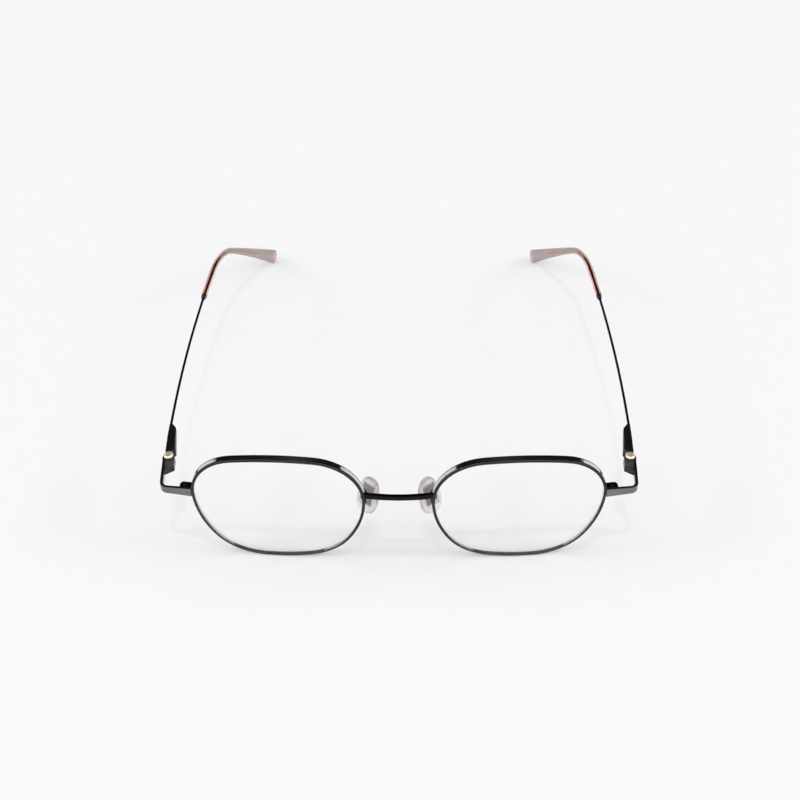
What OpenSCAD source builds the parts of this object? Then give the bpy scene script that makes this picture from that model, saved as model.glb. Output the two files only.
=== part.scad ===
// Square eyeglasses: a thin full-rim metal front, wire temples and brown tips.
// They are drawn as they stand on a table, open, on the bottoms of the rims and the ends of the tips.
// X runs to the wearer's left, Y back along the temples and Z up.
// The origin is on the table, under the middle of the whole pair.

/* [Lenses and rims] */
// Width of one lens, with the bevel that sits in the rim
lens_w = 48.6; // [44:0.2:52]
// Height of one lens, with the bevel
lens_h = 40.8; // [36:0.2:44]
// Distance between the two lenses at their nearest
lens_gap = 20; // [17:0.5:23]
// Radius of each lens corner as a share of the lens height
corner_share = 0.39; // [0.34:0.01:0.41]
// Radius of the spheres that the lenses and rims are curved to
base_curve = 130; // [100:5:200]
// Thickness of a lens
lens_t = 1.5; // [1.2:0.1:1.8]
// Thickness of the rim wire seen from the front
rim_t = 0.85; // [0.8:0.05:1.2]
// Depth of the rim wire from front to back
rim_depth = 1.9; // [1.8:0.1:2.4]
// Angle that each lens turns back towards its temple
wrap = 3.5; // [0:0.5:6]
// Angle that the top of the front leans forward on the table
front_tilt = 4.8; // [2:0.2:7]

/* [Bridge] */
// Height of the bridge bar at its ends
bridge_h = 1.9; // [1.6:0.1:2.4]
// Depth of the bridge bar
bridge_d = 1.3; // [1.1:0.1:1.6]
// Distance that the middle of the bridge bows forward
bridge_bow = 0.9; // [0.5:0.1:1.6]
// Depth that the top of the bridge is hollowed in the middle
bridge_dip = 0.3; // [0.1:0.05:0.5]
// Height of the bridge above the middle of the lenses
bridge_rise = 6.3; // [4:0.1:8]

/* [End pieces and hinges] */
// Distance that an end piece stands out from the lens edge
end_reach = 8.9; // [8:0.1:11]
// Height of the temples above the table at the front
temple_z = 25.6; // [24.5:0.1:26.5]
// Thickness of the bent strap of an end piece
strap_t = 0.9; // [0.8:0.05:1.1]
// Height of the strap along the temple
strap_h = 2.3; // [2:0.1:2.6]
// Height of the strap where it meets the rim
strap_rim_h = 2.9; // [2.6:0.1:3.2]
// Radius of the bend at the corner, to the middle of the strap
strap_bend = 2; // [1.6:0.1:2.6]
// Angle that the strap sweeps back from the rim to the corner
strap_sweep = 8.5; // [4:0.5:12]
// Distance from the corner back to the hinge screw
hinge_y = 12.1; // [11:0.1:14]
// Radius of the hinge knuckles
knuckle_r = 1.65; // [1.5:0.05:1.8]
// Height of the hinge blocks
hinge_h = 3.2; // [2.8:0.1:3.6]
// Height of the middle knuckle
middle_h = 1.1; // [0.9:0.1:1.3]
// Width of the hinge blocks from their outer to their inner face
hinge_w = 3.45; // [3.4:0.05:3.8]
// Radius of the hinge screw
hinge_screw_r = 0.6; // [0.5:0.05:0.7]
// Radius of the head of the hinge screw
hinge_head_r = 1.4; // [1.1:0.05:1.5]
// Distance from the corner back to the start of the front leaf
leaf_start = 7.1; // [6:0.1:8]
// Length of the temple leaf behind its knuckle
leaf_l = 11; // [10:0.2:12]
// Angle that the top of each hinge leans outwards
hinge_lean = 2.5; // [1.5:0.5:3]

/* [Temples and tips] */
// Radius of the temple wire
wire_r = 0.4; // [0.35:0.05:0.5]
// Angle that the temples spread from the front
splay = 1.8; // [1:0.1:3]
// Length of the nearly straight part, from the corner to the ear bend
straight_l = 100.7; // [95:0.1:105]
// Radius that the straight part curves inwards
straight_r = 600; // [500:20:800]
// Radius of the ear bend
ear_r = 30.8; // [26:0.2:36]
// Angle of the ear bend
ear_angle = 38.7; // [36:0.1:42]
// Length of the hook behind the ear bend
hook_l = 36; // [33:0.5:39]
// Length of the brown tip in front of the ear bend
tip_lead = 13.6; // [10:0.2:25]
// Height of the tip at its end
tip_end_h = 5; // [4:0.2:5.6]
// Thickness of the tip
tip_t = 1.9; // [1.7:0.1:2.4]

/* [Nose pads] */
// Height of a nose pad
pad_h = 11.4; // [10:0.2:14]
// Width of a nose pad
pad_w = 7.8; // [7:0.2:8.4]
// Thickness of a nose pad
pad_t = 2.4; // [2.2:0.1:2.8]
// Distance between the middles of the two pads
pad_span = 17.6; // [16.5:0.2:19]
// Angle between a pad and the front-to-back line
pad_splay = 48; // [40:1:52]
// Angle that a pad leans, with its top towards the other pad
pad_lean = 20; // [12:1:24]

/* [Hidden] */
$fn = 72;
arc_n = 12;
// Gaps left between pieces: seated, running and swinging
seat = 0.02;
run = 0.05;
swing = 0.15;
// Reach of the shapes that only cut or bound others
far = 20;

// Lens outline: four wide side arcs in the order top, nose, bottom and temple, joined by corner arcs
bevel = 0.35;
bevel_w = 0.7;
rim_out = rim_t - bevel;
top_r = 1.44 * lens_w;
bottom_r = 1.9 * lens_w;
nose_r = 0.76 * lens_h;
temple_r = 0.86 * lens_h;
side_c = [[-0.03 * lens_w, lens_h / 2 - top_r], [nose_r - lens_w / 2, 0.113 * lens_h],
    [0.097 * lens_w, bottom_r - lens_h / 2], [lens_w / 2 - temple_r, 0.147 * lens_h]];
side_r = [top_r, nose_r, bottom_r, temple_r];
corner_r = lens_h * [corner_share, corner_share + 0.015, corner_share + 0.015, corner_share - 0.035];

// Where the front stands
lens_x = (lens_w + lens_gap) / 2;
rim_edge = [for (p = rounded_p(side_c, side_r, corner_r, rim_out)) rx(front_tilt) * rz(wrap)
    * [p.x, base_curve - sqrt(base_curve * base_curve - p.x * p.x - p.y * p.y), p.y]];
lens_z = -min([for (p = rim_edge) p.z]);

// Temple path, from the corner: straight part, ear bend and hook, each a plane arc
straight_a = straight_l / straight_r * 180 / PI;
ear_l = ear_r * ear_angle * PI / 180;
ear_roll = 12.8;
hook_r = 214;
hook_a = hook_l / hook_r * 180 / PI;
hook_roll = 68.4;
path_l = straight_l + ear_l + hook_l;
tip_s = straight_l - tip_lead;
core_short = 16;
core_end_s = path_l - core_short;
collar_l = 1.6;
collar_r = 0.8;
inlay_r = 0.85;
inlay_deep = 0.5;
inlay_proud = 0.1;
inlay_s = path_l - 2.2;
straight_p = [straight_r * (cos(straight_a) - 1), straight_r * sin(straight_a), 0];
straight_m = rz(straight_a);
ear_p = straight_p + straight_m * sweep(ear_r, ear_angle, ear_roll);
ear_m = straight_m * turn(ear_angle, ear_roll);
hook_p = ear_p + ear_m * sweep(hook_r, hook_a, hook_roll);
hook_m = ear_m * turn(hook_a, hook_roll);

tip_n = 16;
tip_rings = 30;
bore_rings = 22;
end_round = 0.4;
end_rings = [ring(path_l - end_round, half_w(path_l), half_h(path_l)),
    ring(path_l, half_w(path_l) - end_round, half_h(path_l) - end_round)];

// The corner of an end piece, and the whole pair moved so that its middle is at the origin
corner_x = lens_x + lens_w / 2 + end_reach;
corner_y = 4.6;
// The temples rise just so much that the tips come down on the table
low_p = rz(-splay) * (hook_p + hook_m * [0, 0, -tip_end_h / 2]);
first_rise = rise_of(low_p);
low_z = temple_z + min([for (r = end_rings) for (p = r) (rx(first_rise) * rz(-splay) * p).z]);
rise = first_rise - low_z / norm(low_p) * 180 / PI;
end_y = corner_y + max([for (r = end_rings) for (p = r) (rx(rise) * rz(-splay) * p).y]);
bridge_y = 0.35;
front_min_y = min(bridge_y - bridge_d / 2, min([for (p = rim_edge) p.y]));
front_y = -(end_y + front_min_y) / 2;

// Hinge: the knuckles stand a little in from the outer face of the strap
hinge_x = strap_t / 2 - knuckle_r - 0.15;
block_in = strap_t / 2 - hinge_w;
leaf_front = hinge_y + knuckle_r + 0.25;
leaf_y = hinge_y + 3.25;
leaf_back = leaf_y + leaf_l;
leaf_out = strap_t / 2 - 0.6;
leaf_edge = 0.25;
leaf_flare = 4;
wire_start = leaf_back - 3;
// Strap: crossing point of its two middle lines, and the centre of its bend
cross_y = 0.6;
sweep_a = strap_sweep + splay;
bend_y = cross_y + strap_bend * (1 - sin(sweep_a)) / cos(sweep_a);
lock_l = 3.3;
lock_d = 1.9;
lock_h = 3.1;
lock_split = 0.16;
lock_x = -(end_reach + lock_l) / 2 - 0.9;
lock_screw_r = 0.4;

// Pads
pad_y = 8.2;
pad_z = lens_z - 0.3;
box_x = pad_t / 2 + 0.9;
pad_screw_r = 0.3;
box_back = 1.15;
box_front = 0.55;
box_w = 2.3;
box_h = 2.6;
tab_t = 1;
tab_h = 1.2;
core_t = 0.7;
core_w = 4.2;
core_h = 6.2;
core_rise = 0.3;
// Pad arms: from the middle of the rim's depth at the nose, in a bow to the pad box
arm_r = 0.42;
nose_p = [lens_x, front_y, lens_z] + rx(front_tilt) * rz(wrap)
    * [-lens_w / 2, base_curve - sqrt(base_curve * base_curve - lens_w * lens_w / 4) + rim_depth / 2, 0];
arm_c = [nose_p + [0.5, 0, 1.2], nose_p + [-1.0, -0.3, 3.8],
    nose_p + [-1.0, 1.4, 6.4], nose_p + [0.1, 4.2, 6.4],
    pad_place([box_x + 2 * box_back, -0.3, 1.8]), pad_place([box_x + box_back - 0.25, 0, 0.3])];

// Turns about the three axes, for the temple path
function rx(a) = [[1, 0, 0], [0, cos(a), -sin(a)], [0, sin(a), cos(a)]];
function ry(a) = [[cos(a), 0, sin(a)], [0, 1, 0], [-sin(a), 0, cos(a)]];
function rz(a) = [[cos(a), -sin(a), 0], [sin(a), cos(a), 0], [0, 0, 1]];
// A bend of radius r through angle a, downwards when roll is 0 and inwards when it is 90
function sweep(r, a, roll) = ry(roll) * [0, r * sin(a), r * (cos(a) - 1)];
function turn(a, roll) = ry(roll) * rx(-a) * ry(-roll);
function deg(l, r) = l / r * 180 / PI;
// Angle that brings p down to the table, seen from the side
function rise_of(p) = -asin(temple_z / norm([p.y, p.z])) - atan2(p.z, p.y);
// Place and direction of the path at distance s from the corner
function path_p(s) =
    s < straight_l ? [straight_r * (cos(deg(s, straight_r)) - 1), straight_r * sin(deg(s, straight_r)), 0]
    : s < straight_l + ear_l ? straight_p + straight_m * sweep(ear_r, deg(s - straight_l, ear_r), ear_roll)
    : ear_p + ear_m * sweep(hook_r, deg(s - straight_l - ear_l, hook_r), hook_roll);
function path_m(s) =
    s < straight_l ? rz(deg(s, straight_r))
    : s < straight_l + ear_l ? straight_m * turn(deg(s - straight_l, ear_r), ear_roll)
    : ear_m * turn(deg(s - straight_l - ear_l, hook_r), hook_roll);

// Centre of the arc of radius r that runs smoothly from the arc p, pr into the arc q, qr
function corner_c(p, pr, q, qr, r) =
    let (a = pr - r, b = qr - r, d = norm(q - p))
    let (k = (a * a - b * b + d * d) / (2 * d), h = sqrt(a * a - k * k))
    p + (q - p) * k / d + [p.y - q.y, q.x - p.x] * h / d;
// Rounded outline of side arcs sc, sr and corner arcs cr: centres and radii of all its arcs in turn
function outline_c(sc, sr, cr) = let (n = len(sc)) [for (i = [0:2 * n - 1]) i % 2 == 0 ? sc[i / 2]
    : corner_c(sc[(i - 1) / 2], sr[(i - 1) / 2], sc[(i + 1) / 2 % n], sr[(i + 1) / 2 % n], cr[(i - 1) / 2])];
function outline_r(sr, cr) = [for (i = [0:2 * len(sr) - 1]) i % 2 == 0 ? sr[i / 2] : cr[(i - 1) / 2]];
// Point where arc i starts, pushed out by d
function joint_p(c, r, i, d) =
    let (before = (i + len(c) - 1) % len(c))
    let (side = i % 2 == 0 ? i : before, other = i % 2 == 0 ? before : i)
    c[side] + (c[other] - c[side]) / norm(c[other] - c[side]) * (r[side] + d);
// Points of an arc about c from a to b, both at distance r
function arc_p(c, r, a, b, n = arc_n) =
    let (a0 = atan2(a.y - c.y, a.x - c.x), b0 = atan2(b.y - c.y, b.x - c.x))
    let (t = b0 < a0 ? b0 + 360 - a0 : b0 - a0)
    [for (k = [0:n - 1]) c + r * [cos(a0 + t * k / n), sin(a0 + t * k / n)]];
function rounded_p(sc, sr, cr, d) = let (c = outline_c(sc, sr, cr), r = outline_r(sr, cr), n = len(c))
    [for (i = [0:n - 1]) each arc_p(c[i], r[i] + d, joint_p(c, r, i, d), joint_p(c, r, (i + 1) % n, d))];
// Oval point number k of n, w by h, with p under 1 for squarer sides
function power(v, p) = sign(v) * pow(abs(v), p);
function oval_p(k, n, w, h, p) = [w / 2 * power(cos(360 * k / n), p), h / 2 * power(sin(360 * k / n), p)];
// Point on the smooth curve drawn by control points c, at t from 0 to 1
function curve_p(c, t) = len(c) == 1 ? c[0]
    : curve_p([for (i = [0:len(c) - 2]) c[i] + (c[i + 1] - c[i]) * t], t);
// Faces between two rings of n points that start at numbers a and b
function band(a, b, n, flip = false) = [for (k = [0:n - 1]) let (j = (k + 1) % n)
    flip ? [a + k, a + j, b + j, b + k] : [a + k, b + k, b + j, a + j]];
// Solid through a list of rings, closed at both ends
module loft(rings) {
    n = len(rings[0]);
    m = len(rings);
    polyhedron([for (r = rings) each r], concat([for (i = [0:m - 2]) each band(i * n, (i + 1) * n, n)],
        [[for (k = [n - 1:-1:0]) k]], [[for (k = [0:n - 1]) (m - 1) * n + k]]));
}

// Frames of reference on the left side, and the mirror for the right
module side(s) {
    if (s < 0) mirror([1, 0, 0]) children();
    else children();
}
module lens_frame() translate([lens_x, front_y, lens_z])
    rotate([front_tilt, 0, 0]) rotate([0, 0, wrap]) children();
module hinge_frame() translate([corner_x, front_y + corner_y, temple_z])
    rotate([rise, 0, 0]) rotate([0, 0, -splay]) children();
module strap_frame() hinge_frame() translate([0, cross_y, 0]) rotate([0, 0, sweep_a]) children();
module axis_frame() hinge_frame() translate([hinge_x, hinge_y, 0]) rotate([0, hinge_lean, 0]) children();
module pad_frame() translate([pad_span / 2, front_y + pad_y, pad_z]) rotate([0, 0, -pad_splay])
    rotate([0, -pad_lean, 0]) children();
module path_frame(s) {
    m = path_m(s);
    p = path_p(s);
    hinge_frame() multmatrix([[m[0][0], m[0][1], m[0][2], p.x], [m[1][0], m[1][1], m[1][2], p.y],
        [m[2][0], m[2][1], m[2][2], p.z], [0, 0, 0, 1]]) children();
}

// The lens outline pushed out by d, as a bar from depth y0 to y1
module lens_bar(d, y0 = -3, y1 = 12) rotate([90, 0, 0]) translate([0, 0, -y1]) linear_extrude(y1 - y0)
    polygon(rounded_p(side_c, side_r, corner_r, d));
// A curved layer from depth y0 to y1, a patch of a sphere that is turned about an upright axis
module layer(y0, y1) translate([0, base_curve, 0]) rotate([0, 0, -107]) rotate_extrude(angle = 34, $fn = 480)
    intersection() {
        difference() {
            circle(r = base_curve - y0, $fn = 480);
            circle(r = base_curve - y1, $fn = 480);
        }
        translate([base_curve - 0.3 * lens_w, -0.75 * lens_h]) square([0.35 * lens_w, 1.5 * lens_h]);
    }

// Front

module rim() color([0.1, 0.1, 0.11]) difference() {
    lens_frame() difference() {
        intersection() {
            difference() {
                lens_bar(rim_out);
                lens_bar(-bevel, -4, 13);
            }
            layer(0, rim_depth);
        }
        intersection() {
            lens_bar(seat);
            layer(rim_depth / 2 - bevel_w / 2 - seat, rim_depth / 2 + bevel_w / 2 + seat);
        }
    }
    hinge_frame() translate([-end_reach - 4, -4, -lock_split / 2]) cube([8, 12, lock_split]);
}

module lens() color([0.85, 0.9, 0.92, 0.3]) lens_frame() {
    intersection() {
        lens_bar(-bevel - seat);
        layer((rim_depth - lens_t) / 2, (rim_depth + lens_t) / 2);
    }
    intersection() {
        lens_bar(0);
        layer(rim_depth / 2 - bevel_w / 2, rim_depth / 2 + bevel_w / 2);
    }
}

module bridge() color([0.1, 0.1, 0.11]) {
    half = lens_gap / 2 - rim_out + 1;
    r = (half * half + bridge_bow * bridge_bow) / (2 * bridge_bow);
    a = asin(half / r);
    dip_r = (half * half + bridge_dip * bridge_dip) / (2 * bridge_dip);
    difference() {
        translate([0, front_y + bridge_y + r, lens_z + bridge_rise]) rotate([0, 0, -90 - a])
            rotate_extrude(angle = 2 * a, $fn = 720) translate([r, 0])
            polygon([for (k = [0:23]) oval_p(k, 24, bridge_d, bridge_h, 0.6)]);
        translate([0, front_y + 5, lens_z + bridge_rise + bridge_h / 2 - bridge_dip + dip_r]) rotate([90, 0, 0])
            cylinder(r = dip_r, h = 10, $fn = 720);
        for (s = [-1, 1]) side(s) lens_frame() lens_bar(rim_out);
    }
}

module end_piece() color([0.16, 0.16, 0.17]) difference() {
    intersection() {
        hinge_frame() translate([0, 0, -strap_rim_h]) linear_extrude(2 * strap_rim_h) strap_plan();
        hinge_frame() translate([0, hinge_y, 0]) rotate([90, 0, 0]) linear_extrude(far)
            polygon([[strap_t, -strap_h / 2], [strap_t, strap_h / 2], [-strap_bend, strap_h / 2],
                [-end_reach, strap_rim_h / 2], [-end_reach - 2, strap_rim_h / 2],
                [-end_reach - 2, -strap_rim_h / 2], [-end_reach, -strap_rim_h / 2],
                [-strap_bend, -strap_h / 2]]);
    }
    lens_frame() lens_bar(rim_out);
}
// Plan of the bent strap: along the swept arm, round the bend, back to the hinge and the same way inside
module strap_plan() {
    c = [-strap_bend, bend_y];
    back = [sin(sweep_a), -cos(sweep_a)];
    along = [cos(sweep_a), sin(sweep_a)];
    outer = strap_bend + strap_t / 2;
    inner = strap_bend - strap_t / 2;
    reach = end_reach + 1.5 - strap_bend;
    polygon(concat([c + back * outer - along * reach], arc_p(c, outer, c + back * outer, c + [outer, 0]),
        [c + [outer, 0], [strap_t / 2, hinge_y - knuckle_r], [-strap_t / 2, hinge_y - knuckle_r],
            c + [inner, 0]],
        [for (k = [arc_n - 1:-1:0]) arc_p(c, inner, c + back * inner, c + [inner, 0])[k]],
        [c + back * inner - along * reach]));
}

// Closing blocks of the rim behind the end piece. The rim is cut between them, and a screw pulls them together.
module lock_plan(d) difference() {
    translate([-end_reach - 1.5, strap_t / 2 + d]) square([end_reach + 1.5 + lock_x + lock_l / 2, lock_d - d]);
    translate([lock_x + lock_l / 2 - lock_d / 2, strap_t / 2 + lock_d / 2]) difference() {
        translate([0, -lock_d]) square([lock_d, 2 * lock_d]);
        circle(r = lock_d / 2);
        translate([-1, -lock_d]) square([2, lock_d]);
    }
}
module lock_half(z0, z1, d, hole) difference() {
    strap_frame() translate([0, 0, z0]) linear_extrude(z1 - z0) difference() {
        lock_plan(d);
        translate([lock_x, strap_t / 2 + lock_d / 2]) circle(r = hole);
    }
    lens_frame() lens_bar(rim_out);
}
module rim_lock_upper() color([0.08, 0.08, 0.09])
    lock_half(lock_split / 2, lock_h / 2, 0, lock_screw_r + run);
module rim_lock_lower() color([0.08, 0.08, 0.09])
    lock_half(-lock_h / 2, -lock_split / 2, 0.08, lock_screw_r + seat);
module rim_screw() color([0.2, 0.2, 0.21]) strap_frame() translate([lock_x, strap_t / 2 + lock_d / 2, 0]) {
    translate([0, 0, -lock_h / 2 + 0.1]) cylinder(r = lock_screw_r, h = lock_h - 0.1);
    slotted_head(0.78, 0.35, lock_h / 2);
}
module slotted_head(r, h, z) difference() {
    translate([0, 0, z]) {
        cylinder(r = r, h = h * 0.55);
        translate([0, 0, h * 0.55]) cylinder(r1 = r, r2 = r * 0.7, h = h * 0.45);
    }
    translate([-r - 1, -r * 0.13, z + h * 0.45]) cube([2 * r + 2, r * 0.26, h]);
}

// Hinge: two knuckles on the front leaf, one on the temple leaf, and a screw

module leaf_section() polygon([[knuckle_r, -hinge_h / 2], [knuckle_r, hinge_h / 2],
    [block_in + leaf_edge, hinge_h / 2], [block_in, hinge_h / 2 - leaf_edge],
    [block_in, leaf_edge - hinge_h / 2], [block_in + leaf_edge, -hinge_h / 2]]);
module front_hinge_leaf() color([0.13, 0.13, 0.14]) difference() {
    union() {
        intersection() {
            hinge_frame() translate([0, 0, -hinge_h]) linear_extrude(2 * hinge_h)
                polygon([[-strap_t / 2, leaf_start], [block_in, leaf_start + 1.6], [block_in, hinge_y - 0.3],
                    [hinge_x, hinge_y], [strap_t / 2 - 0.03, hinge_y],
                    [strap_t / 2 - 0.03, hinge_y - knuckle_r], [-strap_t / 2, hinge_y - knuckle_r]]);
            hinge_frame() translate([0, hinge_y + knuckle_r, 0]) rotate([90, 0, 0]) linear_extrude(far)
                leaf_section();
            hinge_frame() translate([-5, 0, 0]) rotate([90, 0, 90]) linear_extrude(8)
                polygon([[leaf_start - 1, -strap_h / 2], [leaf_start - 1, strap_h / 2],
                    [leaf_start + 1.6, strap_h / 2], [leaf_start + 2.8, hinge_h / 2 + 0.01],
                    [hinge_y + 4, hinge_h], [hinge_y + 4, -hinge_h],
                    [leaf_start + 2.8, -hinge_h / 2 - 0.01], [leaf_start + 1.6, -strap_h / 2]]);
        }
        hinge_frame() translate([hinge_x, hinge_y, 0.02 - hinge_h / 2])
            cylinder(r = knuckle_r, h = hinge_h - 0.04);
    }
    axis_frame() {
        translate([0, 0, -middle_h / 2 - 0.1]) cylinder(r = knuckle_r + swing, h = middle_h + 0.2);
        translate([-5, -1.4, -middle_h / 2 - 0.1]) cube([5, 5, middle_h + 0.2]);
        translate([0, 0, -4]) cylinder(r = hinge_screw_r + run, h = 8);
    }
}
module hinge_screw() color([0.83, 0.68, 0.42]) axis_frame() {
    translate([0, 0, -hinge_h / 2]) cylinder(r = hinge_screw_r, h = hinge_h + 0.2);
    slotted_head(hinge_head_r, 0.65, hinge_h / 2 + 0.07);
}
module temple_hinge_leaf() color([0.13, 0.13, 0.14]) difference() {
    union() {
        intersection() {
            hinge_frame() translate([0, 0, -hinge_h]) linear_extrude(2 * hinge_h) leaf_plan();
            hinge_frame() translate([0, leaf_y, 0]) rotate([0, 0, -leaf_flare]) translate([0, leaf_l + 4, 0])
                rotate([90, 0, 0]) linear_extrude(far) leaf_section();
            hinge_frame() translate([-5, 0, 0]) rotate([90, 0, 90]) linear_extrude(8)
                polygon([[hinge_y, -hinge_h], [hinge_y, hinge_h], [leaf_y + 4.5, hinge_h / 2 + 0.01],
                    [leaf_back + 0.5, 0.7], [leaf_back + 0.5, -0.7], [leaf_y + 4.5, -hinge_h / 2 - 0.01]]);
        }
        intersection() {
            axis_frame() translate([0, 0, -middle_h / 2]) linear_extrude(middle_h) {
                circle(r = knuckle_r);
                translate([-1.1, 0]) square([1.1 + knuckle_r - 0.3, 3]);
            }
            hinge_frame() translate([-4, hinge_y - 3, -2]) cube([6, 5.5, 4]);
        }
    }
    axis_frame() translate([0, 0, -4]) cylinder(r = hinge_screw_r + run, h = 8);
    hinge_frame() straight_rod(wire_start, leaf_back + 2, wire_r + seat);
}
// Plan of the temple leaf: cut back at the knuckle, a little wider to the back, then slanting to the wire
module leaf_plan() polygon([[leaf_out, leaf_front], [hinge_x - 0.3, leaf_front], [block_in - 1, leaf_y + 0.6],
    [block_in - 1, leaf_y + 6.1], [-1.2, leaf_back], [leaf_out - 0.15, leaf_back]]);

// Temples

module straight_rod(s0, s1, r) translate([-straight_r, 0, 0]) rotate([0, 0, deg(s0, straight_r)])
    rotate_extrude(angle = deg(s1 - s0, straight_r), $fn = 1440) translate([straight_r, 0])
    circle(r = r, $fn = 24);
module bent_rod(bend_r, a, roll, r) rotate([0, roll, 0]) translate([0, 0, -bend_r]) rotate([0, -90, 0])
    rotate_extrude(angle = a, $fn = 360) translate([bend_r, 0]) circle(r = r, $fn = 24);
module temple_wire() color([0.12, 0.12, 0.13]) {
    hinge_frame() straight_rod(wire_start, straight_l, wire_r);
    path_frame(straight_l) {
        bent_rod(ear_r, ear_angle, ear_roll, wire_r);
        sphere(r = wire_r + 0.03, $fn = 32);
    }
    path_frame(straight_l + ear_l) {
        bent_rod(hook_r, deg(core_end_s - straight_l - ear_l, hook_r), hook_roll, wire_r);
        sphere(r = wire_r + 0.03, $fn = 32);
    }
}
module tip_collar() color([0.05, 0.05, 0.05]) path_frame(tip_s - collar_l) rotate([-90, 0, 0]) difference() {
    union() {
        cylinder(r = collar_r - 0.15, h = collar_l);
        translate([0, 0, collar_l * 0.4]) cylinder(r = collar_r, h = collar_l * 0.6);
    }
    translate([0, 0, -1]) cylinder(r = wire_r + seat, h = collar_l + 2);
}

// Brown tip: rings along the path that grow from a slim rod to a flat paddle, with a bore for the wire
function ring_s(i) = tip_s + (path_l - tip_s) * i / tip_rings;
function bore_s(i) = tip_s + (core_end_s + 0.3 - tip_s) * i / bore_rings;
function grow(s) = max(0, (s - straight_l - ear_l / 2) / (path_l - straight_l - ear_l / 2));
function half_h(s) = tip_t / 2 + (tip_end_h - tip_t) / 2 * pow(grow(s), 2);
function half_w(s) = tip_t / 2 - 0.05 + 0.1 * grow(s);
function ring(s, w, h) = let (p = path_p(s), m = path_m(s)) [for (k = [0:tip_n - 1])
    let (o = oval_p(k, tip_n, 2 * w, 2 * h, 0.85)) p + m * [o.x, 0, o.y]];
module temple_tip() color([0.42, 0.22, 0.17]) difference() {
    skin = [for (i = [0:tip_rings - 1]) each ring(ring_s(i), half_w(ring_s(i)), half_h(ring_s(i)))];
    hollow = [for (i = [0:bore_rings]) each ring(bore_s(i), wire_r + run, wire_r + run)];
    points = concat(skin, end_rings[0], end_rings[1], hollow);
    last = (tip_rings + 1) * tip_n;
    bore = last + tip_n;
    hinge_frame() polyhedron(points, concat(
        [for (i = [0:tip_rings]) each band(i * tip_n, (i + 1) * tip_n, tip_n)],
        [for (i = [0:bore_rings - 1]) each band(bore + i * tip_n, bore + (i + 1) * tip_n, tip_n, true)],
        band(0, bore, tip_n, true), [[for (k = [0:tip_n - 1]) last + k]],
        [[for (k = [tip_n - 1:-1:0]) bore + bore_rings * tip_n + k]]));
    inlay_place() cylinder(r = inlay_r + seat, h = tip_t);
}
module inlay_place() path_frame(inlay_s) rotate([0, -90, 0])
    translate([0, 0, half_w(inlay_s) - inlay_deep]) children();
module tip_inlay() color([0.85, 0.74, 0.55]) inlay_place()
    cylinder(r = inlay_r, h = inlay_deep + inlay_proud);

// Nose pads

function pad_place(p) = [pad_span / 2, front_y + pad_y, pad_z] + rz(-pad_splay) * ry(-pad_lean) * p;
function arm_ring(t, n = 12) =
    let (v = curve_p(arm_c, t + 0.01) - curve_p(arm_c, t - 0.01))
    let (a = cross(v, [1, 0, 0]) / norm(cross(v, [1, 0, 0])), b = cross(v, a) / norm(cross(v, a)))
    [for (k = [0:n - 1]) curve_p(arm_c, t) + arm_r * (a * cos(360 * k / n) + b * sin(360 * k / n))];
module pad_arm() color([0.2, 0.2, 0.21]) difference() {
    loft([for (i = [0:24]) arm_ring(i / 24)]);
    lens_frame() intersection() {
        lens_bar(rim_out);
        layer(-1.5, rim_depth + seat);
    }
    pad_frame() box_block();
}
module box_block() translate([box_x - box_front, -box_w / 2, -box_h / 2])
    cube([box_front + box_back, box_w, box_h]);
module pad_box() color([0.2, 0.2, 0.21]) pad_frame() difference() {
    box_block();
    translate([0, -tab_t / 2 - swing, -box_h])
        cube([box_x + box_back - 0.35, tab_t + 2 * swing, 2 * box_h]);
    translate([box_x, box_w, 0]) rotate([90, 0, 0])
        cylinder(r = pad_screw_r + seat, h = 2 * box_w, $fn = 32);
}
module pad_screw() color([0.75, 0.66, 0.5]) pad_frame() translate([box_x, 0, 0]) rotate([90, 0, 0]) {
    translate([0, 0, -box_w / 2 - 0.15]) cylinder(r = pad_screw_r, h = box_w + 0.2, $fn = 32);
    slotted_head(2 * pad_screw_r, 0.35, box_w / 2 + seat);
}
module core_shape(d)
    translate([-core_t / 2 - d, -core_w / 2 - d, core_rise - core_h / 2 - d])
    cube([core_t + 2 * d, core_w + 2 * d, core_h + 2 * d]);
module pad_core() color([0.3, 0.2, 0.17]) pad_frame() difference() {
    union() {
        core_shape(0);
        translate([0, -tab_t / 2, -tab_h / 2]) cube([box_x, tab_t, tab_h]);
        translate([box_x, tab_t / 2, 0]) rotate([90, 0, 0])
            cylinder(r = tab_h / 2 + 0.05, h = tab_t, $fn = 32);
    }
    translate([box_x, box_w, 0]) rotate([90, 0, 0])
        cylinder(r = pad_screw_r + run, h = 2 * box_w, $fn = 32);
}
// Pillow shape of a pad: ovals that shrink towards both faces, a little wider at the foot
function pad_ring(a, n = 24) =
    let (f = pow(cos(a), 0.45))
    [for (k = [0:n - 1]) let (o = oval_p(k, n, pad_w, pad_h, 0.85))
        [pad_t / 2 * sin(a), o.x * f * (1 - 0.24 * o.y / pad_h), o.y * f]];
module nose_pad() color([0.8, 0.78, 0.76, 0.5]) pad_frame() difference() {
    loft([for (i = [-5:5]) pad_ring(15.6 * i)]);
    core_shape(seat);
    translate([0, -tab_t / 2 - seat, -tab_h / 2 - seat]) cube([pad_w, tab_t + 2 * seat, tab_h + 2 * seat]);
}

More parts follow.
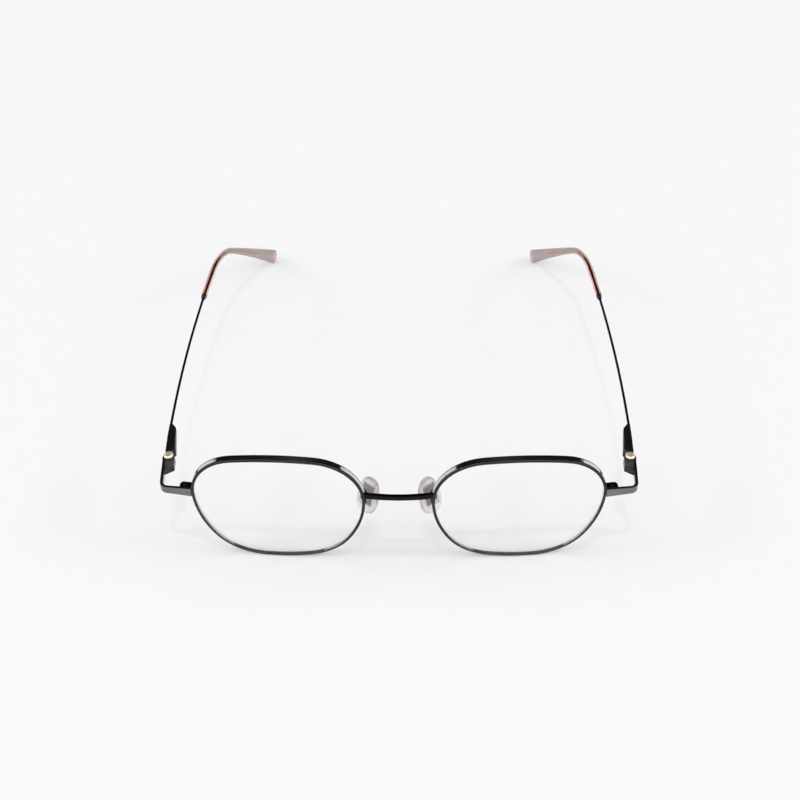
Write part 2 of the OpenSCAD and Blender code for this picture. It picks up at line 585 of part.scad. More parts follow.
side(1) rim();  // rim_left
side(-1) rim();  // rim_right
side(1) lens();  // lens_left
side(-1) lens();  // lens_right
bridge();
side(1) rim_lock_upper();  // rim_lock_upper_left
side(-1) rim_lock_upper();  // rim_lock_upper_right
side(1) rim_lock_lower();  // rim_lock_lower_left
side(-1) rim_lock_lower();  // rim_lock_lower_right
for (s = [-1, 1]) side(s) rim_screw();  // rim_screws
side(1) end_piece();  // end_piece_left
side(-1) end_piece();  // end_piece_right
side(1) front_hinge_leaf();  // front_hinge_leaf_left
side(-1) front_hinge_leaf();  // front_hinge_leaf_right
for (s = [-1, 1]) side(s) hinge_screw();  // hinge_screws
side(1) pad_arm();  // pad_arm_left
side(-1) pad_arm();  // pad_arm_right
side(1) pad_box();  // pad_box_left
side(-1) pad_box();  // pad_box_right
for (s = [-1, 1]) side(s) pad_screw();  // pad_screws
side(1) pad_core();  // pad_core_left
side(-1) pad_core();  // pad_core_right
side(1) nose_pad();  // nose_pad_left
side(-1) nose_pad();  // nose_pad_right
side(1) temple_hinge_leaf();  // temple_hinge_leaf_left
side(-1) temple_hinge_leaf();  // temple_hinge_leaf_right
side(1) temple_wire();  // temple_wire_left
side(-1) temple_wire();  // temple_wire_right
side(1) tip_collar();  // tip_collar_left
side(-1) tip_collar();  // tip_collar_right
side(1) temple_tip();  // temple_tip_left
side(-1) temple_tip();  // temple_tip_right
side(1) tip_inlay();  // tip_inlay_left
side(-1) tip_inlay();  // tip_inlay_right
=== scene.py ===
"""A pair of square metal eyeglasses, standing open on a pale table: its finishes, rounded edges and stage."""
import math

import bpy
from mathutils import Matrix, Vector


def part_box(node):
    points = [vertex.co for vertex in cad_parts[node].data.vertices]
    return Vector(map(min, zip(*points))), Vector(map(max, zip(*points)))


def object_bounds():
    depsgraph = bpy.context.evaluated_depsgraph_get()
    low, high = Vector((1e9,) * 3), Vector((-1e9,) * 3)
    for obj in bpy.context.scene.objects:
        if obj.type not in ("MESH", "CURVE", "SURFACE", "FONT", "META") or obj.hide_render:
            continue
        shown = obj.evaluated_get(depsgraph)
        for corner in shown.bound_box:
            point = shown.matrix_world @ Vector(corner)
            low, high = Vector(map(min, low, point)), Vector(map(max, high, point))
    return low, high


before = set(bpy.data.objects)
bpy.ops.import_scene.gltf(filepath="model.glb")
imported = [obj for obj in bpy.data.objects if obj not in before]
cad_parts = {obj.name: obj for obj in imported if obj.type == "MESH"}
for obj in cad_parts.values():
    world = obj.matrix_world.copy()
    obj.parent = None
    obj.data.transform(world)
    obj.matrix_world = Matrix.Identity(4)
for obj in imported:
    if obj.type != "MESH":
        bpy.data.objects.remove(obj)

bl_info = {
    "name": "Square Eyeglasses",
    "version": (1, 0, 0),
    "blender": (4, 5, 0),
    "location": "View3D > Sidebar > Eyeglasses",
    "description": "Dresses a pair of metal eyeglasses and sets the stage for them",
    "category": "Object",
}

CAD_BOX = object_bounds()
MM = 0.001
SIDES = ("left", "right")

# Where the photograph's camera stands, in metres and degrees, seen from the front plane of the pair
FRONT_PLANE = 0.000492
AIM_BACK = 0.050096
AIM_HEIGHT = 0.020
SIDE_STEP = -0.000719
CAMERA_DISTANCE = 0.486276
CAMERA_ELEVATION = 41.0
CAMERA_TURN = -0.912
CAMERA_ROLL = -0.566
CLIP_START = 0.01

# The camera's lens and sensor, in millimetres
FOCAL_LENGTH = 71.1
SENSOR_WIDTH = 36.0

# Along the pair, in metres: where the tips begin, and where the colour changes at their bend and their paddle
TIP_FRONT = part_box("temple_tip_left")[0][1]
BEND = (0.038, 0.047)
PADDLE = (0.052, 0.072)

# Edges: the gap that joins split corners, in metres, and the angles that make an edge a crease, in degrees
WELD_GAP = 0.000002
CREASE = 30
WIDE_CREASE = 50
EDGE_SEGMENTS = 2
ROUNDING_SAMPLES = 8

# How far a rim's surface faces the front or back, from 0 to 1: where the plating is full, and where the
# walls' bright colour, a painted highlight stripe, is full
PLATING_FACING = 0.28
HIGHLIGHT_FACING = 0.11

# Noise of the Fine Surface group: its detail, the clouds in a metre and the part of their noise that is used
GRAIN_DETAIL = 4
CLOUD_DETAIL = 3
CLOUDS_PER_METRE = 180
CLOUD_RANGE = (0.3, 0.7)

# Shader values of the finishes
METAL = {"Metallic": 1.0}
BRONZE = {"Metallic": 0.3}
LACQUER = {"Coat Weight": 0.4}
TIP_PLASTIC = {"Transmission Weight": 1.0, "IOR": 1.49}
SILICONE = {"Transmission Weight": 0.85, "IOR": 1.41}
GLASS = {"Transmission Weight": 1.0, "IOR": 1.5, "Specular IOR Level": 0.3}

# Colours of the small pieces that have no setting
COLLAR_COLOUR = (0.006, 0.006, 0.006)
PAD_CORE_COLOUR = (0.1, 0.03, 0.018)
PAD_BOX_COLOUR = (0.6, 0.59, 0.57)

# The share of light that each clear piece lets through to what is behind it
TIP_LIGHT = 0.6
PAD_LIGHT = 0.8
LENS_LIGHT = 0.99

# The stage, in metres: the floor from its middle to a side, and the places, aim and widths of the lights
FLOOR_REACH = 4.0
LIGHT_AIM = (0, 0, 0.02)
SOFTBOX_PLACE = (3.13, -0.6, 2.41)
SOFTBOX_SIZE = 0.8
LAMP_PLACE = (0, -1.3, 3.77)
LAMP_SIZE = 0.12

# The room, by direction, from 0 to 1: how far back its dark wall begins and is full, and its bands' heights
BACK_WALL_BEGIN = 0.25
BACK_WALL_FULL = 0.5
HORIZON_TOP = 0.26
BACK_WALL_FOOT = 0.36
BACK_WALL_HEAD = 0.8
CEILING_FOOT = 0.92


def cad(name):
    """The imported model's own object of that name."""
    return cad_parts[name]


def both(name):
    """The objects of a piece that comes once on each side."""
    return [cad(f"{name}_{side}") for side in SIDES]


# Settings that a user would change

class MetalSettings(bpy.types.PropertyGroup):
    """Colours and edges of the plated metal."""
    rim: bpy.props.FloatVectorProperty(
        name="Rim Colour", description="Black plating of the rims' front and back",
        subtype="COLOR", size=3, min=0, max=1, default=(0.042, 0.042, 0.044))
    # The wall colour is a bright reflective colour that paints in the highlight stripe along the rims' walls:
    # a painted highlight
    wall: bpy.props.FloatVectorProperty(
        name="Wall Colour", description="Polished plating of the rims' inner and outer walls",
        subtype="COLOR", size=3, min=0, max=1, default=(0.78, 0.78, 0.78))
    bridge: bpy.props.FloatVectorProperty(
        name="Bridge Colour", description="Gloss black plating of the bridge, locks and pad arms",
        subtype="COLOR", size=3, min=0, max=1, default=(0.014, 0.014, 0.015))
    strap: bpy.props.FloatVectorProperty(
        name="Strap Colour", description="Brushed grey plating of the end pieces",
        subtype="COLOR", size=3, min=0, max=1, default=(0.19, 0.19, 0.193))
    hinge: bpy.props.FloatVectorProperty(
        name="Hinge Colour", description="Satin plating of the hinge leaves",
        subtype="COLOR", size=3, min=0, max=1, default=(0.06, 0.06, 0.062))
    wire: bpy.props.FloatVectorProperty(
        name="Temple Colour", description="Plating of the temple wires",
        subtype="COLOR", size=3, min=0, max=1, default=(0.03, 0.03, 0.032))
    core: bpy.props.FloatVectorProperty(
        name="Core Colour", description="Reddish brown of the wires inside the tips",
        subtype="COLOR", size=3, min=0, max=1, default=(0.16, 0.035, 0.015))
    hidden_wire: bpy.props.FloatVectorProperty(
        name="Hidden Wire Colour", description="Mauve of the wires' ends behind the bend of the tips",
        subtype="COLOR", size=3, min=0, max=1, default=(0.6, 0.5, 0.48))
    gold: bpy.props.FloatVectorProperty(
        name="Gold Colour", description="Gold plating of the hinge and pad screws",
        subtype="COLOR", size=3, min=0, max=1, default=(0.93, 0.83, 0.64))
    inlay: bpy.props.FloatVectorProperty(
        name="Inlay Colour", description="Rose gold plating of the inlays in the tips",
        subtype="COLOR", size=3, min=0, max=1, default=(0.75, 0.5, 0.42))
    edge: bpy.props.FloatProperty(
        name="Edge Radius", description="Radius of the rounded metal edges",
        subtype="DISTANCE", unit="LENGTH", min=0, max=0.0003, default=0.00009)
    wire_edge: bpy.props.FloatProperty(
        name="Rim Edge Radius", description="Radius of the rounded edges of the rims and bridge",
        subtype="DISTANCE", unit="LENGTH", min=0, max=0.0003, default=0.00015)
    soft: bpy.props.FloatProperty(
        name="Soft Radius", description="Radius that the edges of the rims and bridge are shaded with",
        subtype="DISTANCE", unit="LENGTH", min=0, max=0.002, default=0.0003)
    # The border radius sets how wide the dark lines are that edge the walls' painted highlight; these lines
    # are painted dark reflection
    border: bpy.props.FloatProperty(
        name="Border Radius", description="Radius that sets the width of the walls' dark border lines",
        subtype="DISTANCE", unit="LENGTH", min=0, max=0.002, default=0.0011)


class PlasticSettings(bpy.types.PropertyGroup):
    """Colours of the clear and brown pieces."""
    tip: bpy.props.FloatVectorProperty(
        name="Tip Colour", description="Translucent reddish brown of the temple tips",
        subtype="COLOR", size=3, min=0, max=1, default=(0.84, 0.55, 0.45))
    hook: bpy.props.FloatVectorProperty(
        name="Hook Colour", description="Pale pinkish brown of the tips behind their bend",
        subtype="COLOR", size=3, min=0, max=1, default=(0.72, 0.57, 0.54))
    paddle: bpy.props.FloatVectorProperty(
        name="Paddle Colour", description="Mauve brown of the tips' flat ends",
        subtype="COLOR", size=3, min=0, max=1, default=(0.52, 0.4, 0.4))
    pad: bpy.props.FloatVectorProperty(
        name="Pad Colour", description="Soft clear silicone of the nose pads",
        subtype="COLOR", size=3, min=0, max=1, default=(0.86, 0.82, 0.82))
    lens: bpy.props.FloatVectorProperty(
        name="Lens Colour", description="Tint of the lenses",
        subtype="COLOR", size=3, min=0, max=1, default=(1.0, 1.0, 1.0))


class StageSettings(bpy.types.PropertyGroup):
    """Floor and lights."""
    floor: bpy.props.FloatVectorProperty(
        name="Floor Colour", description="Pale floor that the pair stands on",
        subtype="COLOR", size=3, min=0, max=1, default=(0.9, 0.9, 0.905))
    softbox_power: bpy.props.FloatProperty(
        name="Softbox Power", description="Power of each of the two softboxes beside the pair",
        subtype="POWER", unit="POWER", min=0, max=200, default=18.0)
    lamp_power: bpy.props.FloatProperty(
        name="Lamp Power", description="Power of the small lamp in front of the pair and high above it",
        subtype="POWER", unit="POWER", min=0, max=200, default=9.0)
    horizon: bpy.props.FloatProperty(
        name="Horizon", description="Brightness of the pale room near the table's height",
        min=0, max=4, default=0.9)
    back_wall: bpy.props.FloatProperty(
        name="Back Wall", description="Brightness of the dark wall behind the table",
        min=0, max=4, default=0.01)
    room: bpy.props.FloatProperty(
        name="Room", description="Brightness of the soft light from all other sides",
        min=0, max=8, default=1.105)


SETTINGS = {
    "eyeglass_metal": MetalSettings,
    "eyeglass_plastic": PlasticSettings,
    "eyeglass_stage": StageSettings,
}


# Shader building blocks

COLOUR = "NodeSocketColor"
NUMBER = "NodeSocketFloat"
VECTOR = "NodeSocketVector"
GREY = (0.5, 0.5, 0.5, 1)


def feed(tree, socket, source):
    """Gives a socket a plain value, or links another node's output to it."""
    if isinstance(source, bpy.types.NodeSocket):
        tree.links.new(source, socket)
    else:
        socket.default_value = source


def calculate(tree, operation, *sources):
    """The result of a Math node. Each source is a number or another node's output."""
    node = tree.nodes.new("ShaderNodeMath")
    node.operation = operation
    for socket, source in zip(node.inputs, sources):
        feed(tree, socket, source)
    return node.outputs[0]


def blend(tree, kind, share, first, second):
    """The result of a Mix node of colours (RGBA) or numbers (FLOAT): the second one where the share is 1."""
    node = tree.nodes.new("ShaderNodeMix")
    node.data_type = kind
    sockets = [socket for socket in node.inputs if socket.enabled]
    for socket, source in zip(sockets, (share, first, second)):
        feed(tree, socket, source)
    return next(socket for socket in node.outputs if socket.enabled)


def smooth_share(tree, value, begin, end):
    """How far a value has come from begin to end, from 0 to 1, with a smooth start and stop."""
    node = tree.nodes.new("ShaderNodeMapRange")
    node.interpolation_type = "SMOOTHSTEP"
    for name, source in (("Value", value), ("From Min", begin), ("From Max", end)):
        feed(tree, node.inputs[name], source)
    return node.outputs["Result"]


def rounded_normal(tree, radius):
    """The surface's direction, as if its edges were rounded by that radius."""
    rounding = tree.nodes.new("ShaderNodeBevel")
    rounding.samples = ROUNDING_SAMPLES
    rounding.inputs["Radius"].default_value = radius
    return rounding.outputs["Normal"]


def shader_group(name, sockets_in, sockets_out):
    """A new shader group with named sockets, and its input and output nodes."""
    group = bpy.data.node_groups.new(name, "ShaderNodeTree")
    face = group.interface
    for socket, kind, value in sockets_in:
        face.new_socket(name=socket, in_out="INPUT", socket_type=kind).default_value = value
    for socket, kind in sockets_out:
        face.new_socket(name=socket, in_out="OUTPUT", socket_type=kind)
    return group, group.nodes.new("NodeGroupInput"), group.nodes.new("NodeGroupOutput")


def place_group(tree, group, values):
    """A node that holds a shader group, with its own values for some of the group's sockets."""
    node = tree.nodes.new("ShaderNodeGroup")
    node.node_tree = group
    for socket, value in values.items():
        node.inputs[socket].default_value = value
    return node


def principled(tree):
    """The Principled shader of a material's tree."""
    return next(node for node in tree.nodes if node.type == "BSDF_PRINCIPLED")


def surface_group():
    """Shader group: fine grain and soft clouds that change colour, roughness and height over a surface."""
    name = "Fine Surface"
    if name in bpy.data.node_groups:
        return bpy.data.node_groups[name]
    group, inputs, outputs = shader_group(
        name,
        (("Colour", COLOUR, GREY), ("Roughness", NUMBER, 0.3), ("Grain per Metre", NUMBER, 6000),
         ("Stretch", VECTOR, (1, 1, 1)), ("Cloud", NUMBER, 0.15), ("Spread", NUMBER, 0.08)),
        (("Colour", COLOUR), ("Roughness", NUMBER), ("Height", NUMBER)))
    new, link = group.nodes.new, group.links.new
    place = new("ShaderNodeTexCoord")
    stretch = new("ShaderNodeVectorMath")
    stretch.operation = "MULTIPLY"
    link(place.outputs["Object"], stretch.inputs[0])
    link(inputs.outputs["Stretch"], stretch.inputs[1])
    grain = new("ShaderNodeTexNoise")
    grain.inputs["Detail"].default_value = GRAIN_DETAIL
    link(stretch.outputs["Vector"], grain.inputs["Vector"])
    link(inputs.outputs["Grain per Metre"], grain.inputs["Scale"])
    cloud = new("ShaderNodeTexNoise")
    cloud.inputs["Scale"].default_value = CLOUDS_PER_METRE
    cloud.inputs["Detail"].default_value = CLOUD_DETAIL
    link(place.outputs["Object"], cloud.inputs["Vector"])
    shade = new("ShaderNodeMapRange")
    for socket, value in zip(("From Min", "From Max"), CLOUD_RANGE):
        shade.inputs[socket].default_value = value
    link(cloud.outputs["Fac"], shade.inputs["Value"])
    link(calculate(group, "SUBTRACT", 1, inputs.outputs["Cloud"]), shade.inputs["To Min"])
    link(calculate(group, "ADD", 1, inputs.outputs["Cloud"]), shade.inputs["To Max"])
    tone = new("ShaderNodeVectorMath")
    tone.operation = "SCALE"
    link(inputs.outputs["Colour"], tone.inputs[0])
    link(shade.outputs["Result"], tone.inputs["Scale"])
    link(tone.outputs["Vector"], outputs.inputs["Colour"])
    centred = calculate(group, "SUBTRACT", grain.outputs["Fac"], 0.5)
    rough = calculate(group, "MULTIPLY_ADD", centred, inputs.outputs["Spread"], inputs.outputs["Roughness"])
    link(rough, outputs.inputs["Roughness"])
    link(grain.outputs["Fac"], outputs.inputs["Height"])
    return group


def reach_group():
    """Shader group: one colour and roughness that pass into another from front to back along a piece."""
    name = "Front to Back"
    if name in bpy.data.node_groups:
        return bpy.data.node_groups[name]
    group, inputs, outputs = shader_group(
        name,
        (("Colour", COLOUR, GREY), ("Roughness", NUMBER, 0.3), ("Back Colour", COLOUR, GREY),
         ("Back Roughness", NUMBER, 0.3), ("Begin", NUMBER, 0), ("End", NUMBER, 0.01)),
        (("Colour", COLOUR), ("Roughness", NUMBER)))
    place, parts = group.nodes.new("ShaderNodeTexCoord"), group.nodes.new("ShaderNodeSeparateXYZ")
    group.links.new(place.outputs["Object"], parts.inputs["Vector"])
    share = smooth_share(group, parts.outputs["Y"], inputs.outputs["Begin"], inputs.outputs["End"])
    for kind, front, back in (("RGBA", "Colour", "Back Colour"), ("FLOAT", "Roughness", "Back Roughness")):
        result = blend(group, kind, share, inputs.outputs[front], inputs.outputs[back])
        group.links.new(result, outputs.inputs[front])
    return group


def wall_highlight_group():
    """Shader group: a second, bright colour for the walls of a rim, between its front and back edges, which
    paints a highlight stripe there.
    """
    name = "Wall Colour"
    if name in bpy.data.node_groups:
        return bpy.data.node_groups[name]
    group, inputs, outputs = shader_group(
        name,
        (("Colour", COLOUR, GREY), ("Wall Colour", COLOUR, GREY), ("Normal", VECTOR, (0, 0, 1))),
        (("Colour", COLOUR),))
    parts = group.nodes.new("ShaderNodeSeparateXYZ")
    group.links.new(inputs.outputs["Normal"], parts.inputs["Vector"])
    facing = calculate(group, "ABSOLUTE", parts.outputs["Y"])
    share = smooth_share(group, facing, PLATING_FACING, HIGHLIGHT_FACING)
    result = blend(group, "RGBA", share, inputs.outputs["Colour"], inputs.outputs["Wall Colour"])
    group.links.new(result, outputs.inputs["Colour"])
    return group


def turn_into(material, begin, end, colour, roughness):
    """Lets a finish pass into another colour and roughness between two places along the pair, in metres."""
    tree = material.node_tree
    shader = principled(tree)
    reach = place_group(tree, reach_group(), {
        "Back Colour": (*colour, 1), "Back Roughness": roughness, "Begin": begin, "End": end})
    for socket, target in (("Colour", "Base Color"), ("Roughness", "Roughness")):
        tree.links.new(shader.inputs[target].links[0].from_socket, reach.inputs[socket])
        tree.links.new(reach.outputs[socket], shader.inputs[target])


def paint_wall_highlight(material, colour, border):
    """Gives the walls of a rim a bright colour, a painted highlight stripe, that ends in soft dark lines of
    painted reflection at its front and back edges.
    """
    tree = material.node_tree
    shader = principled(tree)
    walls = place_group(tree, wall_highlight_group(), {"Wall Colour": (*colour, 1)})
    tree.links.new(rounded_normal(tree, border), walls.inputs["Normal"])
    tree.links.new(shader.inputs["Base Color"].links[0].from_socket, walls.inputs["Colour"])
    tree.links.new(walls.outputs["Colour"], shader.inputs["Base Color"])


def finish(name, colour, roughness, sockets=None, grain=6000, stretch=(1, 1, 1), cloud=0.15, spread=0.08,
           bump=0.000002, soft=0):
    """A material whose colour, roughness and bump come from the Fine Surface group. Sockets are plain values
    of the shader. Where a soft radius is given, edges are shaded as if they were rounded by it."""
    material = bpy.data.materials.new(name)
    material.use_nodes = True
    tree = material.node_tree
    shader = principled(tree)
    surface = place_group(tree, surface_group(), {
        "Colour": (*colour, 1), "Roughness": roughness, "Grain per Metre": grain, "Stretch": stretch,
        "Cloud": cloud, "Spread": spread})
    relief = tree.nodes.new("ShaderNodeBump")
    relief.inputs["Distance"].default_value = bump
    tree.links.new(surface.outputs["Colour"], shader.inputs["Base Color"])
    tree.links.new(surface.outputs["Roughness"], shader.inputs["Roughness"])
    tree.links.new(surface.outputs["Height"], relief.inputs["Height"])
    tree.links.new(relief.outputs["Normal"], shader.inputs["Normal"])
    if soft:
        tree.links.new(rounded_normal(tree, soft), relief.inputs["Normal"])
    for socket, value in (sockets or {}).items():
        shader.inputs[socket].default_value = value
    return material


def let_light_through(material, share):
    """Makes a clear material pass this share of the light that falls on what is behind it."""
    tree = material.node_tree
    output = next(node for node in tree.nodes if node.type == "OUTPUT_MATERIAL")
    surface = principled(tree).outputs[0]
    ray = tree.nodes.new("ShaderNodeLightPath")
    clear = tree.nodes.new("ShaderNodeBsdfTransparent")
    clear.inputs["Color"].default_value = (share, share, share, 1)
    for kind in ("Is Shadow Ray", "Is Diffuse Ray"):
        mix = tree.nodes.new("ShaderNodeMixShader")
        tree.links.new(ray.outputs[kind], mix.inputs[0])
        tree.links.new(surface, mix.inputs[1])
        tree.links.new(clear.outputs[0], mix.inputs[2])
        surface = mix.outputs[0]
    tree.links.new(surface, output.inputs["Surface"])


def round_edges(obj, radius, crease):
    """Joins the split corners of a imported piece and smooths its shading. Edges sharper than the crease are
    rounded by the radius, or stay sharp where it is 0."""
    if "custom_normal" in obj.data.attributes:
        obj.data.attributes.remove(obj.data.attributes["custom_normal"])
    obj.data.shade_smooth()
    weld = obj.modifiers.new("Join Corners", "WELD")
    weld.merge_threshold = WELD_GAP
    if radius:
        bevel = obj.modifiers.new("Round Edges", "BEVEL")
        bevel.width = radius
        bevel.segments = EDGE_SEGMENTS
        bevel.limit_method = "ANGLE"
        bevel.angle_limit = math.radians(crease)
        bevel.use_clamp_overlap = True
        bevel.harden_normals = True
    else:
        split = obj.modifiers.new("Keep Creases", "EDGE_SPLIT")
        split.split_angle = math.radians(crease)


def dress(objects, material, radius=0, crease=CREASE):
    """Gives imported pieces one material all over, and rounds their edges by the radius."""
    for obj in objects:
        obj.data.materials.clear()
        obj.data.materials.append(material)
        round_edges(obj, radius, crease)


# Operators, one for each kind of piece

class RimOperator(bpy.types.Operator):
    """Finish the rims, bridge, locks and rim screws in black plating."""
    bl_idname = "eyeglass.rims"
    bl_label = "Rims and Bridge"

    def execute(self, context):
        metal = context.scene.eyeglass_metal
        black = finish("rim_plating", metal.rim, 0.1, METAL, soft=metal.soft)
        # The walls' bright colour is a painted highlight stripe, and its soft dark edge lines are painted
        # dark reflection
        paint_wall_highlight(black, metal.wall, metal.border)
        dress(both("rim"), black, metal.wire_edge)
        gloss = finish("bridge_plating", metal.bridge, 0.1, METAL, soft=metal.soft)
        dress([cad("bridge")], gloss, metal.wire_edge)
        locks = both("rim_lock_upper") + both("rim_lock_lower") + [cad("rim_screws")]
        dress(locks, finish("lock_plating", metal.bridge, 0.15, METAL), metal.edge)
        return {"FINISHED"}


class StrapOperator(bpy.types.Operator):
    """Finish the end pieces in brushed grey plating."""
    bl_idname = "eyeglass.straps"
    bl_label = "End Pieces"

    def execute(self, context):
        metal = context.scene.eyeglass_metal
        brushed = finish("strap_plating", metal.strap, 0.2, METAL, grain=9000, stretch=(0.15, 0.15, 1))
        dress(both("end_piece"), brushed, metal.edge)
        return {"FINISHED"}


class HingeOperator(bpy.types.Operator):
    """Finish the hinge leaves and the gold hinge screws."""
    bl_idname = "eyeglass.hinges"
    bl_label = "Hinges"

    def execute(self, context):
        metal = context.scene.eyeglass_metal
        satin = finish("hinge_plating", metal.hinge, 0.3, METAL, grain=7000)
        dress(both("front_hinge_leaf") + both("temple_hinge_leaf"), satin, metal.edge)
        gold = finish("gold_plating", metal.gold, 0.42, METAL)
        dress([cad("hinge_screws")], gold, metal.edge / 2)
        return {"FINISHED"}


class TempleOperator(bpy.types.Operator):
    """Finish the temple wires and the collars of the tips."""
    bl_idname = "eyeglass.temples"
    bl_label = "Temple Wires"

    def execute(self, context):
        metal = context.scene.eyeglass_metal
        satin = finish("wire_plating", metal.wire, 0.2, METAL, grain=5000)
        turn_into(satin, TIP_FRONT, TIP_FRONT + MM, metal.core, 0.35)
        turn_into(satin, *BEND, metal.hidden_wire, 0.5)
        dress(both("temple_wire"), satin)
        glossy = finish("collar_black", COLLAR_COLOUR, 0.2, LACQUER)
        dress(both("tip_collar"), glossy, metal.edge)
        return {"FINISHED"}


class TipOperator(bpy.types.Operator):
    """Finish the brown tips and their inlays."""
    bl_idname = "eyeglass.tips"
    bl_label = "Tips"

    def execute(self, context):
        metal = context.scene.eyeglass_metal
        plastic = context.scene.eyeglass_plastic
        brown = finish("tip_brown", plastic.tip, 0.08, TIP_PLASTIC, grain=900, cloud=0.2, spread=0.04,
                       bump=0.000001)
        turn_into(brown, *BEND, plastic.hook, 0.5)
        turn_into(brown, *PADDLE, plastic.paddle, 0.45)
        let_light_through(brown, TIP_LIGHT)
        dress(both("temple_tip"), brown, crease=WIDE_CREASE)
        gold = finish("inlay_plating", metal.inlay, 0.45, METAL)
        dress(both("tip_inlay"), gold)
        return {"FINISHED"}


class PadOperator(bpy.types.Operator):
    """Finish the nose pads, their cores, boxes, arms and screws."""
    bl_idname = "eyeglass.pads"
    bl_label = "Nose Pads"

    def execute(self, context):
        metal = context.scene.eyeglass_metal
        plastic = context.scene.eyeglass_plastic
        silicone = finish("pad_silicone", plastic.pad, 0.33, SILICONE, grain=1500, cloud=0.04, spread=0.06)
        let_light_through(silicone, PAD_LIGHT)
        dress(both("nose_pad"), silicone, crease=WIDE_CREASE)
        dress(both("pad_core"), finish("core_bronze", PAD_CORE_COLOUR, 0.5, BRONZE), metal.edge / 2)
        dress(both("pad_arm"), finish("arm_plating", metal.bridge, 0.25, METAL), crease=WIDE_CREASE)
        dress(both("pad_box"), finish("box_nickel", PAD_BOX_COLOUR, 0.25, METAL), metal.edge / 2)
        dress([cad("pad_screws")], finish("pad_screw_plating", metal.gold, 0.25, METAL), metal.edge / 3)
        return {"FINISHED"}


class LensOperator(bpy.types.Operator):
    """Finish the lenses in clear coated glass."""
    bl_idname = "eyeglass.lenses"
    bl_label = "Lenses"

    def execute(self, context):
        plastic = context.scene.eyeglass_plastic
        glass = finish("lens_glass", plastic.lens, 0.01, GLASS, grain=300, cloud=0.004, spread=0.004, bump=0)
        let_light_through(glass, LENS_LIGHT)
        dress(both("lens"), glass)
        return {"FINISHED"}


def photo_camera(scene):
    """The camera that took the photograph, set by its aim, distance and angles."""
    front = CAD_BOX[0][1] + FRONT_PLANE
    turn = Matrix.Rotation(math.radians(CAMERA_TURN), 4, "Z")
    place = Matrix.Translation((0, front, 0)) @ turn.inverted() @ Matrix.Translation((-SIDE_STEP, 0, 0))
    elevation = math.radians(CAMERA_ELEVATION)
    ahead = Vector((0, math.cos(elevation), -math.sin(elevation)))
    across = Vector((1, 0, 0))
    up = Vector((0, math.sin(elevation), math.cos(elevation)))
    roll = math.radians(CAMERA_ROLL)
    right = across * math.cos(roll) + up * math.sin(roll)
    top = up * math.cos(roll) - across * math.sin(roll)
    spot = Vector((0, AIM_BACK, AIM_HEIGHT)) - ahead * CAMERA_DISTANCE
    camera = bpy.data.objects.new("Photo Camera", bpy.data.cameras.new("Photo Camera"))
    camera.data.lens = FOCAL_LENGTH
    camera.data.sensor_width = SENSOR_WIDTH
    camera.data.clip_start = CLIP_START
    axes = Matrix((right, top, -ahead)).transposed().to_4x4()
    camera.matrix_world = place @ Matrix.Translation(spot) @ axes
    scene.collection.objects.link(camera)
    scene.camera = camera


def studio_room(settings):
    """A world that is softly lit all round, with a dark wall behind the table above a pale horizon."""
    world = bpy.data.worlds.new("Studio Room")
    world.use_nodes = True
    tree = world.node_tree
    place, parts = tree.nodes.new("ShaderNodeTexCoord"), tree.nodes.new("ShaderNodeSeparateXYZ")
    tree.links.new(place.outputs["Generated"], parts.inputs["Vector"])
    behind = smooth_share(tree, parts.outputs["Y"], BACK_WALL_BEGIN, BACK_WALL_FULL)
    bands = tree.nodes.new("ShaderNodeValToRGB")
    tree.links.new(parts.outputs["Z"], bands.inputs["Fac"])
    stops = (
        (HORIZON_TOP, settings.horizon),
        (BACK_WALL_FOOT, settings.back_wall),
        (BACK_WALL_HEAD, settings.back_wall),
        (CEILING_FOOT, settings.room),
    )
    ramp = bands.color_ramp
    ramp.interpolation = "EASE"
    while len(ramp.elements) < len(stops):
        ramp.elements.new(0.5)
    for element, (height, value) in zip(ramp.elements, stops):
        element.position = height
        element.color = (value, value, value, 1)
    around = (settings.room, settings.room, settings.room, 1)
    light = blend(tree, "RGBA", behind, around, bands.outputs["Color"])
    tree.links.new(light, tree.nodes["Background"].inputs["Color"])
    return world


def area_light(scene, name, place, size, power):
    """A soft square light at a place, facing the pair."""
    light = bpy.data.lights.new(name, "AREA")
    light.shape = "SQUARE"
    light.size = size
    light.energy = power
    obj = bpy.data.objects.new(name, light)
    obj.location = place
    obj.rotation_euler = (Vector(LIGHT_AIM) - Vector(place)).to_track_quat("-Z", "Y").to_euler()
    scene.collection.objects.link(obj)


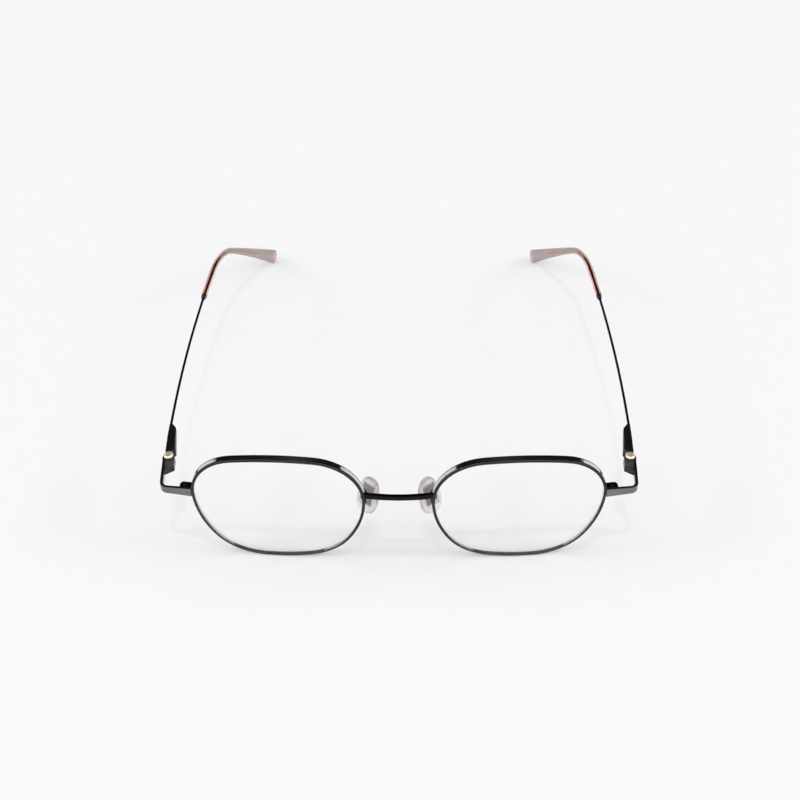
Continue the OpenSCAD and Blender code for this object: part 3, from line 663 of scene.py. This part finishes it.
class StageOperator(bpy.types.Operator):
    """Set the floor, the soft lights and the photograph's camera."""
    bl_idname = "eyeglass.stage"
    bl_label = "Stage"

    def execute(self, context):
        scene = context.scene
        settings = scene.eyeglass_stage
        corners = [(x * FLOOR_REACH, y * FLOOR_REACH, 0) for x, y in ((-1, -1), (1, -1), (1, 1), (-1, 1))]
        mesh = bpy.data.meshes.new("floor")
        mesh.from_pydata(corners, [], [(0, 1, 2, 3)])
        floor = bpy.data.objects.new("floor", mesh)
        scene.collection.objects.link(floor)
        floor.data.materials.append(
            finish("floor_paper", settings.floor, 0.75, grain=400, cloud=0.006, spread=0.05, bump=0.00001))
        scene.world = studio_room(settings)
        scene.view_settings.view_transform = "Standard"
        across, along, height = SOFTBOX_PLACE
        for side in (-1, 1):
            area_light(scene, "Softbox", (across * side, along, height), SOFTBOX_SIZE, settings.softbox_power)
        area_light(scene, "Lamp", LAMP_PLACE, LAMP_SIZE, settings.lamp_power)
        photo_camera(scene)
        return {"FINISHED"}


OPERATORS = (
    RimOperator,
    StrapOperator,
    HingeOperator,
    TempleOperator,
    TipOperator,
    PadOperator,
    LensOperator,
    StageOperator,
)


class EyeglassPanel(bpy.types.Panel):
    """The settings, and the steps that dress the pair, in order."""
    bl_idname = "VIEW3D_PT_eyeglass"
    bl_label = "Eyeglasses"
    bl_space_type = "VIEW_3D"
    bl_region_type = "UI"
    bl_category = "Eyeglasses"

    def draw(self, context):
        for name in SETTINGS:
            group = getattr(context.scene, name)
            box = self.layout.box()
            for key in group.__annotations__:
                box.prop(group, key)
        for operator in OPERATORS:
            self.layout.operator(operator.bl_idname)


def register():
    """Registers the settings, the operators and the panel."""
    for cls in (*SETTINGS.values(), *OPERATORS, EyeglassPanel):
        bpy.utils.register_class(cls)
    for name, cls in SETTINGS.items():
        setattr(bpy.types.Scene, name, bpy.props.PointerProperty(type=cls))


def unregister():
    """Takes the panel, the operators and the settings away again."""
    for name in SETTINGS:
        delattr(bpy.types.Scene, name)
    for cls in (EyeglassPanel, *reversed(OPERATORS), *SETTINGS.values()):
        bpy.utils.unregister_class(cls)


def main():
    """Dresses the pair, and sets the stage."""
    register()
    for operator in OPERATORS:
        group, _, call = operator.bl_idname.partition(".")
        getattr(getattr(bpy.ops, group), call)()
    bpy.context.view_layer.update()


if __name__ == "__main__":
    main()
